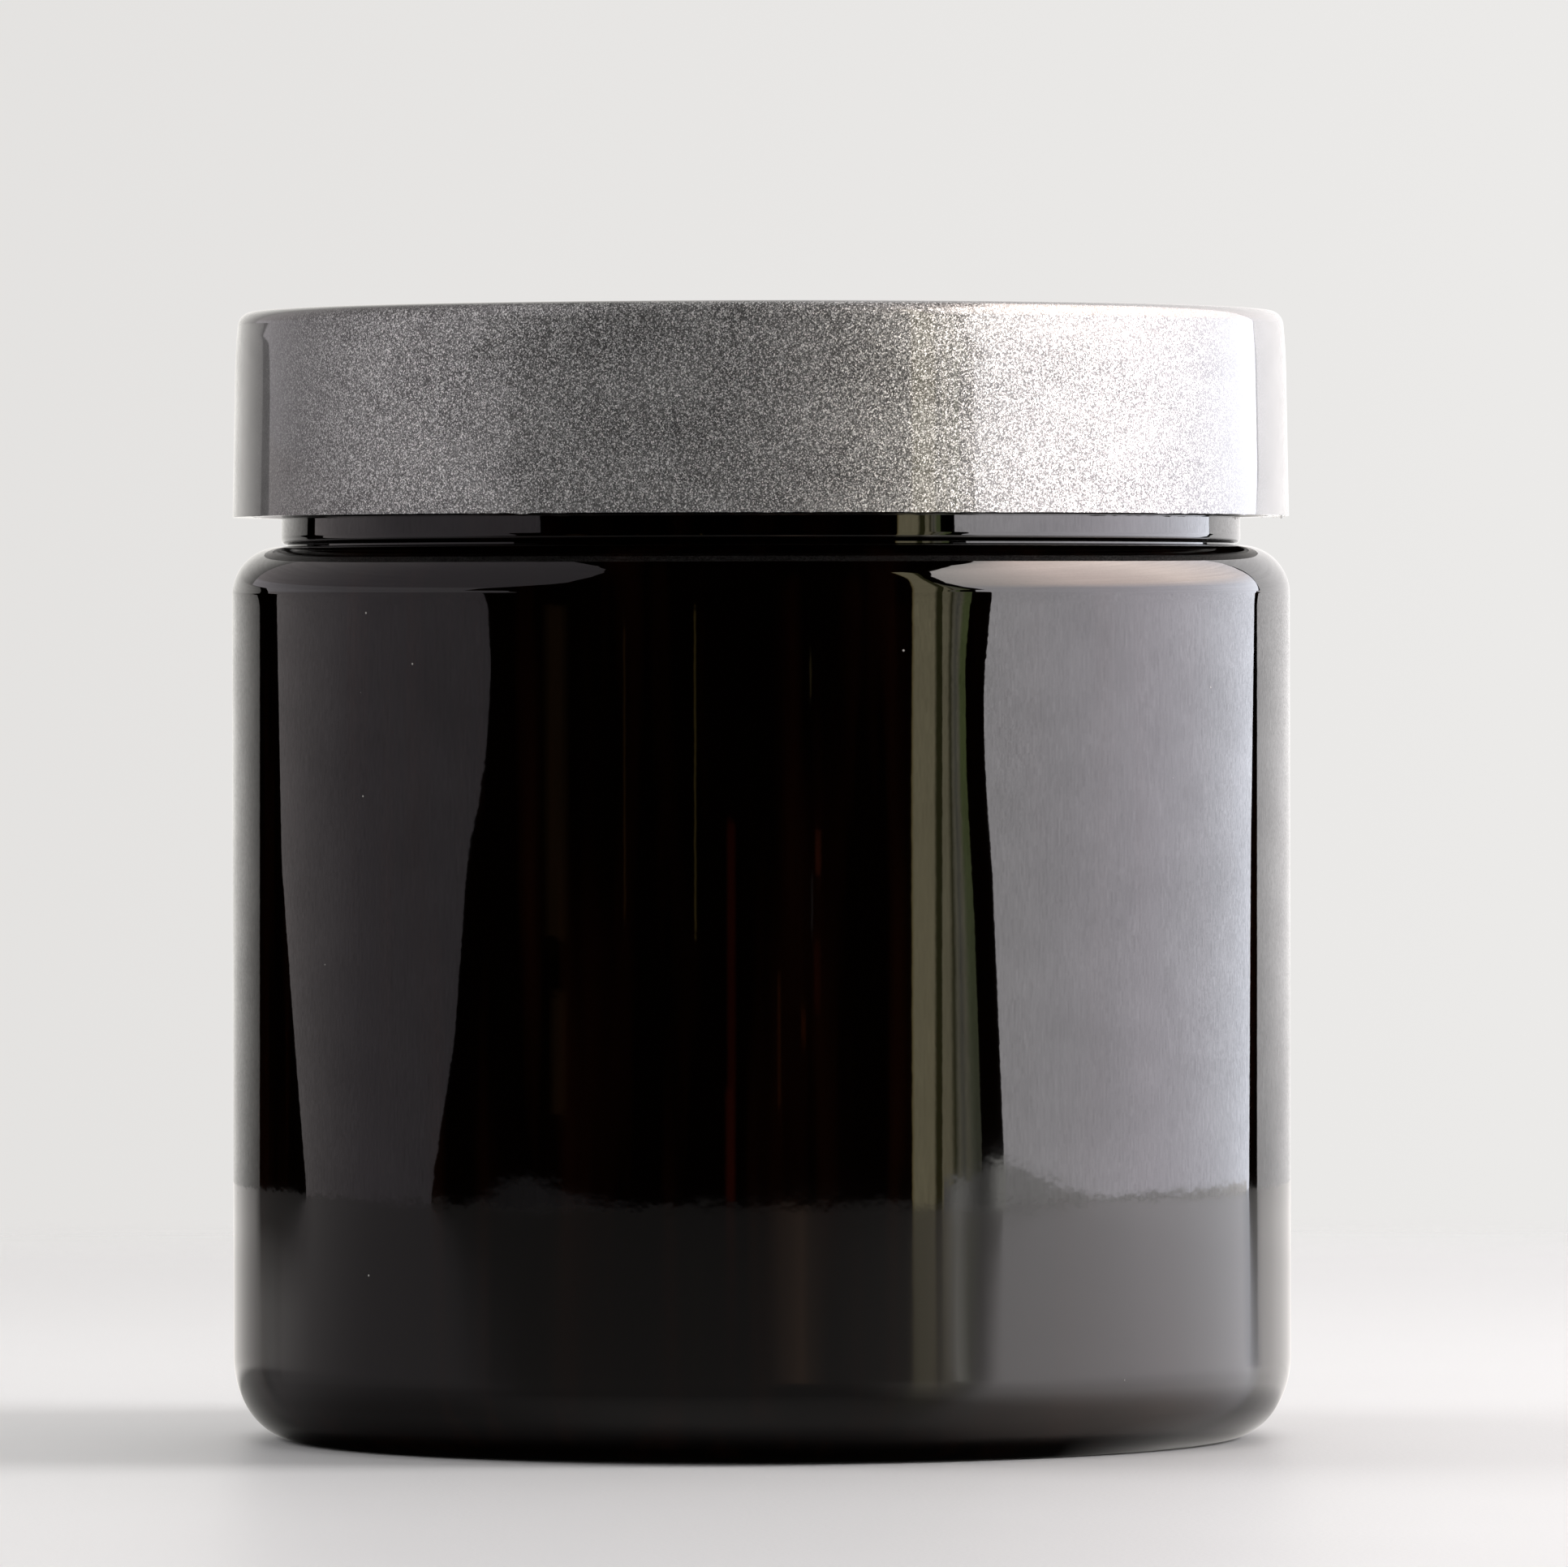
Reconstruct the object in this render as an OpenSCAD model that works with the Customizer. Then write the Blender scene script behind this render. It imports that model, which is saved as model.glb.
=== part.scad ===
// Wide-mouth cosmetic cream jar: a blown jar, a one-piece screw lid, the lid's
// foam liner and a lift-out sealing disc with a pull tab.
// Millimetres, +Z up. The origin is the centre of the plane the jar stands on.

/* [Jar body] */
// Outside diameter of the body
body_d = 73; // [60:0.5:95]
// Height of the shoulder's top above the table, where the neck begins
shoulder_z = 61.5; // [30:0.5:140]
// Wall of the blown body and shoulder
body_wall = 0.9; // [0.6:0.1:1.6]
// How far the body stands out from the neck, between the neck's threads
shoulder_step = 3.4; // [3:0.05:5]
// Radius of the rounded shoulder
shoulder_r = 3.35; // [1.8:0.05:5]
// How far in the rounded heel reaches, from the side to the standing ring
heel_w = 4.4; // [2:0.1:8]
// How high up the rounded heel reaches
heel_h = 5.6; // [2.5:0.1:12]

/* [Base] */
// Thickness of the base
base_wall = 1.2; // [0.8:0.1:1.8]
// Width of the flat ring the jar stands on
ring_w = 2.5; // [1:0.1:5]
// Width of the curved step from the ring up to the raised base
step_w = 2.6; // [1.5:0.1:5]
// Height of that step
step_h = 1.5; // [0.8:0.1:3]
// Further rise of the base's dome at its centre
dome_h = 0.9; // [0.2:0.1:3]
// Diameter of the moulding gate's stub under the base
gate_d = 3.2; // [1:0.1:6]
// Height of that stub
gate_h = 0.7; // [0.2:0.1:1]

/* [Neck] */
// Height of the rim above the shoulder
neck_h = 13; // [12:0.1:22]
// Wall of the neck
neck_wall = 2.05; // [1.4:0.05:3]
// Radius of the neck wall's rounded lower edge, above the parting groove
neck_round = 0.42; // [0.2:0.02:0.8]
// Height of the parting groove between the neck and the shoulder
groove_h = 0.12; // [0.06:0.02:0.4]
// Radius of the rim's rounded edges
rim_r = 0.45; // [0.2:0.05:0.6]

/* [Screw thread] */
// Rise of the thread in one turn
thread_pitch = 4.233; // [3.6:0.001:5]
// Turns of thread on the neck
thread_turns = 1.25; // [1:0.05:1.5]
// Height of the thread's ridge above the neck, and of the lid's above its bore
thread_depth = 1.3; // [0.9:0.05:1.6]
// Width of the ridge where it leaves the wall
thread_root = 2.2; // [1.8:0.05:2.3]
// Width of the ridge's flat crest
thread_crest = 0.9; // [0.5:0.05:1.2]
// Wall left plain between the rim and the thread's upper end
thread_drop = 1.5; // [1:0.1:2.5]
// Angle over which each end of the ridge fades into the wall
thread_fade = 30; // [15:5:60]

/* [Lid] */
// How far the skirt's open edge stands in from the side of the body
lid_inset = 0.05; // [0:0.05:0.5]
// Thickness of the top
lid_top = 1.5; // [1:0.1:3]
// Radius of the rounded top edge
lid_edge_r = 1.05; // [0.3:0.05:1.4]
// Draft angle of the skirt's outside, which widens it downwards
lid_draft = 1; // [0:0.1:1.5]
// Gap seen between the lid's open edge and the shoulder
lid_gap = 2.05; // [0.5:0.05:3]
// Turns of thread inside the lid
lid_turns = 1.25; // [1:0.05:1.4]
// How far the bead that holds the liner stands in from the bore
bead_depth = 1; // [0.6:0.05:1.3]
// Height of that bead
bead_h = 0.8; // [0.5:0.05:1.2]

/* [Liner] */
// Thickness of the foam liner
liner_t = 1; // [0.6:0.1:2]
// How deep the disc's flange presses into the foam
liner_dent = 0.15; // [0.05:0.05:0.3]

/* [Sealing disc] */
// Thickness of the flange, the plug wall and the plate
disc_t = 0.8; // [0.5:0.05:1.2]
// Depth of the plate's upper face below the flange's upper face
disc_depth = 3.5; // [2.6:0.1:6]
// Radius of the rounded edge at the foot of the plug
disc_round = 0.75; // [0.3:0.05:1]
// Length of the pull tab along the plate
tab_l = 17; // [10:0.5:30]
// Thickness of the pull tab
tab_t = 1.1; // [0.8:0.1:2]
// Diameter of the stiffening ring on the plate
rib_d = 40; // [32:1:46]

/* [Clearances] */
// Radial gap between a thread's crest and the wall that it faces
thread_clear = 0.4; // [0.25:0.05:0.8]
// Gap along the axis between the flanks of the tightened threads
flank_clear = 0.15; // [0.08:0.01:0.3]
// Radial gap round the liner in the lid
liner_clear = 0.35; // [0.2:0.05:0.6]
// Radial gap round the disc's plug in the mouth
plug_clear = 0.25; // [0.15:0.05:0.5]
// Gap between the pull tab and the liner
tab_clear = 0.4; // [0.2:0.1:1]
// Radial gap at each side of the disc's flange in the liner's dent
dent_clear = 0.3; // [0.1:0.05:0.5]

/* [Hidden] */
$fn = 180;

// Steps in a quarter of a rounded edge, and in one turn of thread
ARC_STEPS = 12;
TURN_STEPS = 48;
// How far a swept ridge is sunk into the wall that carries it
SINK = 0.3;

// Radii of the body, neck and mouth
body_r = body_d / 2;
neck_r = body_r - shoulder_step;
mouth_r = neck_r - neck_wall;
// The shoulder's curve can't be wider than the step from the neck to the body
shoulder_round = min(shoulder_r, shoulder_step);
// Standing ring, and the raised base inside it
ring_out = body_r - heel_w;
ring_in = ring_out - ring_w;
dome_r = ring_in - step_w;
// Heights, from the rim up through the disc's flange and the liner to the lid's top
rim_z = shoulder_z + neck_h;
flange_z = rim_z + disc_t;
liner_z = flange_z - liner_dent;
ceiling_z = liner_z + liner_t;
lid_z = ceiling_z + lid_top;
lid_edge_z = shoulder_z + lid_gap;
// Lid bore, and the skirt's outside radii at the open edge and at the top
bore_r = neck_r + thread_depth + thread_clear;
lid_foot_r = body_r - lid_inset;
lid_r = lid_foot_r - (lid_z - lid_edge_z) * tan(lid_draft);
// Centre line of the neck's thread at its lower end
neck_thread_z = rim_z - thread_drop - thread_root / 2 - thread_turns * thread_pitch;
// The lid's ridge runs under the neck's: flanks of equal slope, flank_clear apart
flank_slope = (thread_root - thread_crest) / 2 / thread_depth;
thread_offset = thread_root - flank_slope * (thread_depth - thread_clear) + flank_clear;
lid_thread_z = lid_edge_z + thread_root / 2 + SINK;
lid_thread_angle = 360 * (lid_thread_z - neck_thread_z + thread_offset) / thread_pitch;
// Liner and disc
liner_r = bore_r - liner_clear;
plug_r = mouth_r - plug_clear;
plate_z = flange_z - disc_depth;
tab_h = disc_depth - liner_dent - tab_clear;

// Points on an ellipse's arc about c, from angle a to angle b
function arc(c, rx, ry, a, b, n = ARC_STEPS) =
    [for (i = [0:n]) let (t = a + (b - a) * i / n) [c.x + rx * cos(t), c.y + ry * sin(t)]];

// Height of the base's underside at radius r: a dome, a curved step and a flat ring
function base_z(r) =
    r <= dome_r ? step_h + dome_h * (1 - pow(r / dome_r, 2))
    : r < ring_in ? step_h * (1 + cos(180 * (r - dome_r) / step_w)) / 2
    : 0;

// Radii at which the base is drawn, from the centre out to the standing ring
base_radii = concat(
    [for (i = [0:ARC_STEPS / 2]) dome_r * i / (ARC_STEPS / 2)],
    [for (i = [1:ARC_STEPS]) dome_r + step_w * i / ARC_STEPS]
);

// The jar's outside, from the centre of the base up to the rim's outer edge
function jar_outside() = concat(
    [for (r = base_radii) [r, base_z(r)]],
    arc([ring_out, heel_h], heel_w, heel_h, -90, 0),
    arc([body_r - shoulder_round, shoulder_z - shoulder_round],
        shoulder_round, shoulder_round, 0, 90),
    [[neck_r - neck_round, shoulder_z]],
    arc([neck_r - neck_round, shoulder_z + groove_h + neck_round],
        neck_round, neck_round, -90, 0, ARC_STEPS / 2),
    arc([neck_r - rim_r, rim_z - rim_r], rim_r, rim_r, 0, 90, ARC_STEPS / 2)
);

// The jar's inside, from the rim's inner edge down to the centre of the base
function jar_inside() = concat(
    arc([mouth_r + rim_r, rim_z - rim_r], rim_r, rim_r, 90, 180, ARC_STEPS / 2),
    arc([mouth_r + neck_round, shoulder_z - body_wall + neck_round],
        neck_round, neck_round, 180, 270, ARC_STEPS / 2),
    arc([body_r - shoulder_round, shoulder_z - shoulder_round],
        shoulder_round - body_wall, shoulder_round - body_wall, 90, 0),
    arc([ring_out, heel_h], heel_w - body_wall, heel_h - base_wall, 0, -90),
    [for (i = [len(base_radii) - 1:-1:0]) [base_radii[i], base_z(base_radii[i]) + base_wall]]
);

// Trapezium ridge wound round the Z axis from height z and angle a. It stands
// on a wall of radius r, outwards if side is 1 and inwards if side is -1.
module ridge(r, side, z, a, turns) {
    n = round(turns * TURN_STEPS);
    step = turns * 360 / n;
    sunk = thread_root / 2 + SINK * flank_slope;
    section = [for (i = [0:n])
        let (
            full = min(1, min(i, n - i) * step / thread_fade),
            tip = r + side * ((thread_depth + SINK) * full - SINK),
            half = thread_crest / 2 + (sunk - thread_crest / 2) * (1 - full),
            foot = r - side * (SINK * (2 - full)),
            t = a + i * step,
            h = z + i * step / 360 * thread_pitch
        )
        for (p = [[foot, -sunk], [tip, -half], [tip, half], [foot, sunk]])
            [p.x * cos(t), p.x * sin(t), h + p.y]];
    sides = [for (i = [0:n - 1], k = [0:3])
        let (m = (k + 1) % 4, p = 4 * i)
        for (f = [[p + k, p + m, p + 4 + m], [p + k, p + 4 + m, p + 4 + k]]) f];
    ends = [[0, 3, 2], [0, 2, 1], [4 * n, 4 * n + 1, 4 * n + 2], [4 * n, 4 * n + 2, 4 * n + 3]];
    polyhedron(section, [for (f = concat(sides, ends)) side > 0 ? f : [f[2], f[1], f[0]]]);
}

module jar_body() {
    color([0.09, 0.045, 0.025]) {
        rotate_extrude() polygon(concat(jar_outside(), jar_inside()));
        ridge(neck_r, 1, neck_thread_z, 0, thread_turns);
        translate([0, 0, step_h + dome_h - gate_h])
            cylinder(d = gate_d, h = gate_h + base_wall / 2);
    }
}

// The lid's shell: a drafted skirt, a flat top with a rounded edge, and a plain bore
function lid_profile() = concat(
    [[bore_r, lid_edge_z], [lid_foot_r, lid_edge_z]],
    arc([lid_r - lid_edge_r, lid_z - lid_edge_r], lid_edge_r, lid_edge_r, 0, 90),
    [[0, lid_z], [0, ceiling_z], [bore_r, ceiling_z]]
);

// Ring inside the lid that holds the liner up against the top
module liner_bead() {
    rotate_extrude() polygon([
        [bore_r + SINK, liner_z - bead_h], [bore_r, liner_z - bead_h],
        [bore_r - bead_depth, liner_z - bead_h / 2], [bore_r - bead_depth, liner_z - bead_h / 4],
        [bore_r, liner_z], [bore_r + SINK, liner_z]
    ]);
}

module screw_lid() {
    color([0.62, 0.62, 0.63]) {
        rotate_extrude() polygon(lid_profile());
        liner_bead();
        ridge(bore_r, -1, lid_thread_z, lid_thread_angle, lid_turns);
    }
}

// Foam wad, dented where the disc's flange presses into it
module lid_liner() {
    dent_in = plug_r - disc_t - dent_clear;
    dent_out = neck_r + dent_clear;
    color([0.93, 0.93, 0.91]) difference() {
        translate([0, 0, liner_z]) cylinder(r = liner_r, h = liner_t);
        rotate_extrude() polygon([
            [dent_in, liner_z - liner_t], [dent_out, liner_z - liner_t],
            [dent_out, flange_z], [dent_in, flange_z]
        ]);
    }
}

// Flange on the rim, plug wall down into the mouth, and the sunk plate
function disc_profile() = concat(
    [[0, plate_z - disc_t]],
    arc([plug_r - disc_round, plate_z - disc_t + disc_round], disc_round, disc_round, -90, 0),
    [[plug_r, rim_z], [neck_r, rim_z], [neck_r, flange_z], [plug_r - disc_t, flange_z],
     [plug_r - disc_t, plate_z], [0, plate_z]]
);

// Upright fin with round ends, on a wider foot that starts inside the plate
module pull_tab() {
    rotate([90, 0, 0]) translate([0, 0, -tab_t / 2]) linear_extrude(tab_t) intersection() {
        translate([-tab_l / 2, 0]) square([tab_l, tab_h]);
        union() {
            for (x = [-1, 1] * (tab_l / 2 - tab_h)) translate([x, 0]) circle(tab_h);
            translate([tab_h - tab_l / 2, 0]) square([tab_l - 2 * tab_h, tab_h]);
        }
    }
    translate([-tab_l / 2, -tab_t, -disc_t / 2]) cube([tab_l, 2 * tab_t, disc_t * 3 / 2]);
}

module sealing_disc() {
    color([0.95, 0.95, 0.94]) {
        rotate_extrude() polygon(disc_profile());
        translate([0, 0, plate_z - disc_t / 2]) difference() {
            cylinder(d = rib_d, h = disc_t);
            cylinder(d = rib_d - 2 * disc_t, h = 3 * disc_t, center = true);
        }
        translate([0, 0, plate_z]) pull_tab();
    }
}

jar_body();
screw_lid();
lid_liner();
sealing_disc();
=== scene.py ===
"""Looks of the wide-mouth cosmetic cream jar, in Blender 4.5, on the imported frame.

A near-black, glossy blown jar with a one-piece screw lid in silver-grey flake plastic. The jar and the
lid are finer revolved meshes that stand for their CAD solids; the liner and the sealing disc keep their
CAD meshes and get materials. Lengths are in millimetres until a mesh or a lamp is made.
"""

import math

import bpy
import numpy as np
from mathutils import Matrix, Vector, noise


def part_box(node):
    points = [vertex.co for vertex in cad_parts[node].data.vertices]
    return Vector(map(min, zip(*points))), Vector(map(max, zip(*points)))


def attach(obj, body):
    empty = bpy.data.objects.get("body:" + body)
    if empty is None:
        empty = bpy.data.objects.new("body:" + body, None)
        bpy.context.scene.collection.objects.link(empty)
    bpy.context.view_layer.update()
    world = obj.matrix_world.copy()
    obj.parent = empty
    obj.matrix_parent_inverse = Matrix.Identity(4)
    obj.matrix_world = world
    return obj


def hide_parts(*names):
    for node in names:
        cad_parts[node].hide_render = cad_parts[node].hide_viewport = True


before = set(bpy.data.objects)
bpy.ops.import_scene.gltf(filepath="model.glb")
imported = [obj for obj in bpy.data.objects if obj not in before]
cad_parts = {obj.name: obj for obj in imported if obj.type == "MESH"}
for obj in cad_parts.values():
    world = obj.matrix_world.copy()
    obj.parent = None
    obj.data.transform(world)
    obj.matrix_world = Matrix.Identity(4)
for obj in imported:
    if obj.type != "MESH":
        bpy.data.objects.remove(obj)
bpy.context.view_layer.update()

MM = 0.001

# ---------------------------------------------------------------- sizes from the frame

JAR_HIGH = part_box("jar_body")[1]
LID_LOW, LID_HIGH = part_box("screw_lid")
LINER_LOW, LINER_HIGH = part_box("lid_liner")
DISC_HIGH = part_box("sealing_disc")[1]


def in_mm(length):
    """A length of the frame in millimetres, to the hundredth."""
    return round(length / MM, 2)


BODY_R = in_mm(JAR_HIGH.x)
RIM_Z = in_mm(JAR_HIGH.z)
NECK_R = in_mm(DISC_HIGH.x)
LID_FOOT_R = in_mm(LID_HIGH.x)
LID_EDGE_Z = in_mm(LID_LOW.z)
LID_Z = in_mm(LID_HIGH.z)
LINER_Z = in_mm(LINER_LOW.z)
CEILING_Z = in_mm(LINER_HIGH.z)

# ---------------------------------------------------------------- sizes the frame doesn't give

BODY_WALL = 0.9
BASE_WALL = 1.2
SHOULDER_R = 3.35
HEEL_W = 4.4
HEEL_H = 5.6
RING_W = 2.5
STEP_W = 2.6
STEP_H = 1.5
DOME_H = 0.9
GATE_R = 1.6
GATE_H = 0.7
GATE_EDGE_R = 0.2
NECK_WALL = 2.05
NECK_ROUND = 0.42
GROOVE_H = 0.12
RIM_ROUND = 0.45
LID_GAP = 2.05
LID_EDGE_R = 1.05
# The wall leans in by this much over its last stretch below the rounded top edge
LID_CROWN = 0.12
LID_CROWN_H = 3
LID_DRAFT = math.radians(1)
LID_LIP_R = 0.18
# The chamfer inside the lid's open edge, and the first two steps up its outside
LID_CHAMFER = 0.3
LID_FOOT_STEP = 0.25
LID_FOOT_LEAN = 0.005
BEAD_DEPTH = 1.0
BEAD_H = 0.8
# The moulding flash's greatest height, and how closely its patches, teeth and fine teeth follow
FLASH_H = 0.16
FLASH_PATCHES = 0.09
FLASH_TEETH = 0.9
FLASH_FINE = 2.3

THREAD_PITCH = 4.233
THREAD_TURNS = 1.25
THREAD_DEPTH = 1.3
THREAD_ROOT = 2.2
THREAD_CREST = 0.9
THREAD_DROP = 1.5
THREAD_FADE = math.radians(30)
THREAD_CLEAR = 0.4
FLANK_CLEAR = 0.15
THREAD_SINK = 0.3
# The neck leans in below the thread, by this angle and up to this height above the shoulder
NECK_LEAN = math.radians(1)
NECK_LEAN_H = 4

SHOULDER_Z = LID_EDGE_Z - LID_GAP
MOUTH_R = NECK_R - NECK_WALL
BORE_R = NECK_R + THREAD_DEPTH + THREAD_CLEAR
LID_R = LID_FOOT_R - (LID_Z - LID_EDGE_Z) * math.tan(LID_DRAFT)
RING_OUT = BODY_R - HEEL_W
RING_IN = RING_OUT - RING_W
DOME_R = RING_IN - STEP_W
NECK_THREAD_Z = RIM_Z - THREAD_DROP - THREAD_ROOT / 2 - THREAD_TURNS * THREAD_PITCH
LID_THREAD_Z = LID_EDGE_Z + THREAD_ROOT / 2 + THREAD_SINK
FLANK_SLOPE = (THREAD_ROOT - THREAD_CREST) / 2 / THREAD_DEPTH
THREAD_OFFSET = THREAD_ROOT - FLANK_SLOPE * (THREAD_DEPTH - THREAD_CLEAR) + FLANK_CLEAR
LID_THREAD_ANGLE = 2 * math.pi * (LID_THREAD_Z - NECK_THREAD_Z + THREAD_OFFSET) / THREAD_PITCH

# Fineness of the revolved meshes: columns round the axis
JAR_COLUMNS = 320
LID_COLUMNS = 480
# Steps in a quarter arc: of the large curves, the small ones, the rim, the mouth's foot and the gate
ARC_STEPS = 30
FINE_STEPS = 12
RIM_STEPS = 10
MOUTH_FOOT_STEPS = 8
GATE_STEPS = 6
# Points in the curved step of the base
STEP_POINTS = 15
# The longest straight steps: of walls, the neck, the lid's bore, its ceiling and its top
WALL_STEP = 0.8
NECK_STEP = 0.22
THREAD_STEP = 0.14
CEILING_STEP = 2
TOP_STEP = 2.5
# Short steps at each end of a long wall
WALL_ENDS = 3
SHARP_ANGLE = math.radians(38)
# Two places nearer than this are the same
CLOSE = 1e-6

# ---------------------------------------------------------------- camera

# The photograph's frame, its eye level, the jar's axis and the scale, in its own pixels
PHOTO_W = 1932
PHOTO_H = 1931
EYE_LEVEL_Y = 795
AXIS_X = 938
FOCAL_PX = 17500
CAMERA_DISTANCE = 981
CAMERA_HEIGHT = 54.67
CAMERA_ROLL = math.radians(-0.1)
SENSOR_WIDTH = 36


def look_at(place, yaw, pitch, roll):
    """Matrix of a camera at a place, turned right by yaw, down by pitch and anticlockwise by roll."""
    level = Matrix.Rotation(math.radians(90), 4, "X")
    turned = Matrix.Rotation(-yaw, 4, "Z") @ Matrix.Rotation(-pitch, 4, "X")
    return Matrix.Translation(place) @ turned @ level @ Matrix.Rotation(roll, 4, "Z")


def make_camera():
    data = bpy.data.cameras.new("camera")
    data.sensor_width = SENSOR_WIDTH
    data.lens = FOCAL_PX * SENSOR_WIDTH / PHOTO_W
    data.clip_start = 0.05
    data.clip_end = 20
    camera = bpy.data.objects.new("camera", data)
    bpy.context.scene.collection.objects.link(camera)
    yaw = math.atan((PHOTO_W / 2 - AXIS_X) / FOCAL_PX)
    pitch = math.atan((PHOTO_H / 2 - EYE_LEVEL_Y) / FOCAL_PX)
    place = Vector((0, -CAMERA_DISTANCE, CAMERA_HEIGHT)) * MM
    camera.matrix_world = look_at(place, yaw, pitch, CAMERA_ROLL)
    bpy.context.scene.camera = camera
    return camera.matrix_world.copy()


CAMERA_AT = make_camera()

# ---------------------------------------------------------------- mesh helpers


def arc(centre, radii, start, end, steps=ARC_STEPS):
    """Points of an elliptic arc, from one angle to another in degrees."""
    angles = np.radians(np.linspace(start, end, steps + 1))
    return [(centre[0] + radii[0] * math.cos(a), centre[1] + radii[1] * math.sin(a)) for a in angles]


def with_steps(points, longest):
    """The outline with points added, so that no straight stretch is longer than longest."""
    filled = [points[0]]
    for start, end in zip(points, points[1:]):
        count = max(1, math.ceil(math.dist(start, end) / longest))
        for i in range(1, count + 1):
            share = i / count
            filled.append(tuple(s + (e - s) * share for s, e in zip(start, end)))
    return filled


def with_short_ends(start, end):
    """A straight stretch as a few short steps at each end and one long step between, so that the shading
    of the curves it joins doesn't spread along it."""
    share = WALL_STEP / math.dist(start, end)
    steps = [share * i for i in range(WALL_ENDS + 1)] + [1 - share * i for i in range(WALL_ENDS, -1, -1)]
    return [tuple(s + (e - s) * step for s, e in zip(start, end)) for step in steps]


def add_object(name, mesh, body=None):
    piece = bpy.data.objects.new(name, mesh)
    bpy.context.scene.collection.objects.link(piece)
    if body:
        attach(piece, body)
    return piece


def revolved(name, outline, columns, relief):
    """Mesh of an outline that starts and ends on the axis, turned round Z.
    relief(r, z, angle) shapes it."""
    rows = np.array(outline[1:-1])
    turn = np.linspace(0, 2 * math.pi, columns, endpoint=False)
    r = np.repeat(rows[:, :1], columns, axis=1)
    z = np.repeat(rows[:, 1:], columns, axis=1)
    angle = np.repeat(turn[None, :], len(rows), axis=0)
    r, z = relief(r, z, angle)
    points = np.stack([r * np.cos(angle), r * np.sin(angle), z], axis=-1).reshape(-1, 3) * MM
    first, last = len(points), len(points) + 1
    ends = np.array([(0, 0, outline[0][1]), (0, 0, outline[-1][1])]) * MM
    faces = []
    for j in range(columns):
        k = (j + 1) % columns
        faces.append((first, k, j))
        for i in range(len(rows) - 1):
            a, b = i * columns, (i + 1) * columns
            faces.append((a + j, a + k, b + k, b + j))
        faces.append((last, b + j, b + k))
    mesh = bpy.data.meshes.new(name)
    mesh.from_pydata(np.vstack([points, ends]).tolist(), [], faces)
    mesh.shade_smooth()
    mesh.set_sharp_from_angle(angle=SHARP_ANGLE)
    return mesh


def smooth_step(x):
    x = np.clip(x, 0, 1)
    return x * x * (3 - 2 * x)


def ridge_height(z, angle, start_z, start_angle, turns):
    """Height of a thread's ridge above its wall, at heights z and angles round the axis."""
    height = np.zeros_like(z)
    for lap in range(math.ceil(turns)):
        along = np.mod(angle - start_angle, 2 * math.pi) + 2 * math.pi * lap
        left = turns * 2 * math.pi - along
        middle = start_z + THREAD_PITCH * along / (2 * math.pi)
        full = np.clip(np.minimum(along, left) / THREAD_FADE, 0, 1)
        flank = (np.abs(z - middle) - THREAD_CREST / 2) / ((THREAD_ROOT - THREAD_CREST) / 2)
        height = np.maximum(height, THREAD_DEPTH * smooth_step(full) * (1 - smooth_step(flank)))
    return height


# ---------------------------------------------------------------- jar


def base_height(r):
    """Height of the base's underside: a dome, a curved step down and the flat standing ring."""
    if r <= DOME_R:
        return STEP_H + DOME_H * (1 - (r / DOME_R) ** 2)
    if r < RING_IN:
        return STEP_H * (1 + math.cos(math.pi * (r - DOME_R) / STEP_W)) / 2
    return 0.0


def gate_outline():
    """The moulding gate's stub, from its centre out to where it meets the dome."""
    foot = base_height(0) - GATE_H
    edge_at = (GATE_R - GATE_EDGE_R, foot + GATE_EDGE_R)
    edge = arc(edge_at, (GATE_EDGE_R, GATE_EDGE_R), -90, 0, GATE_STEPS)
    return [(0, foot)] + edge + [(GATE_R, base_height(GATE_R))]


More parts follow.
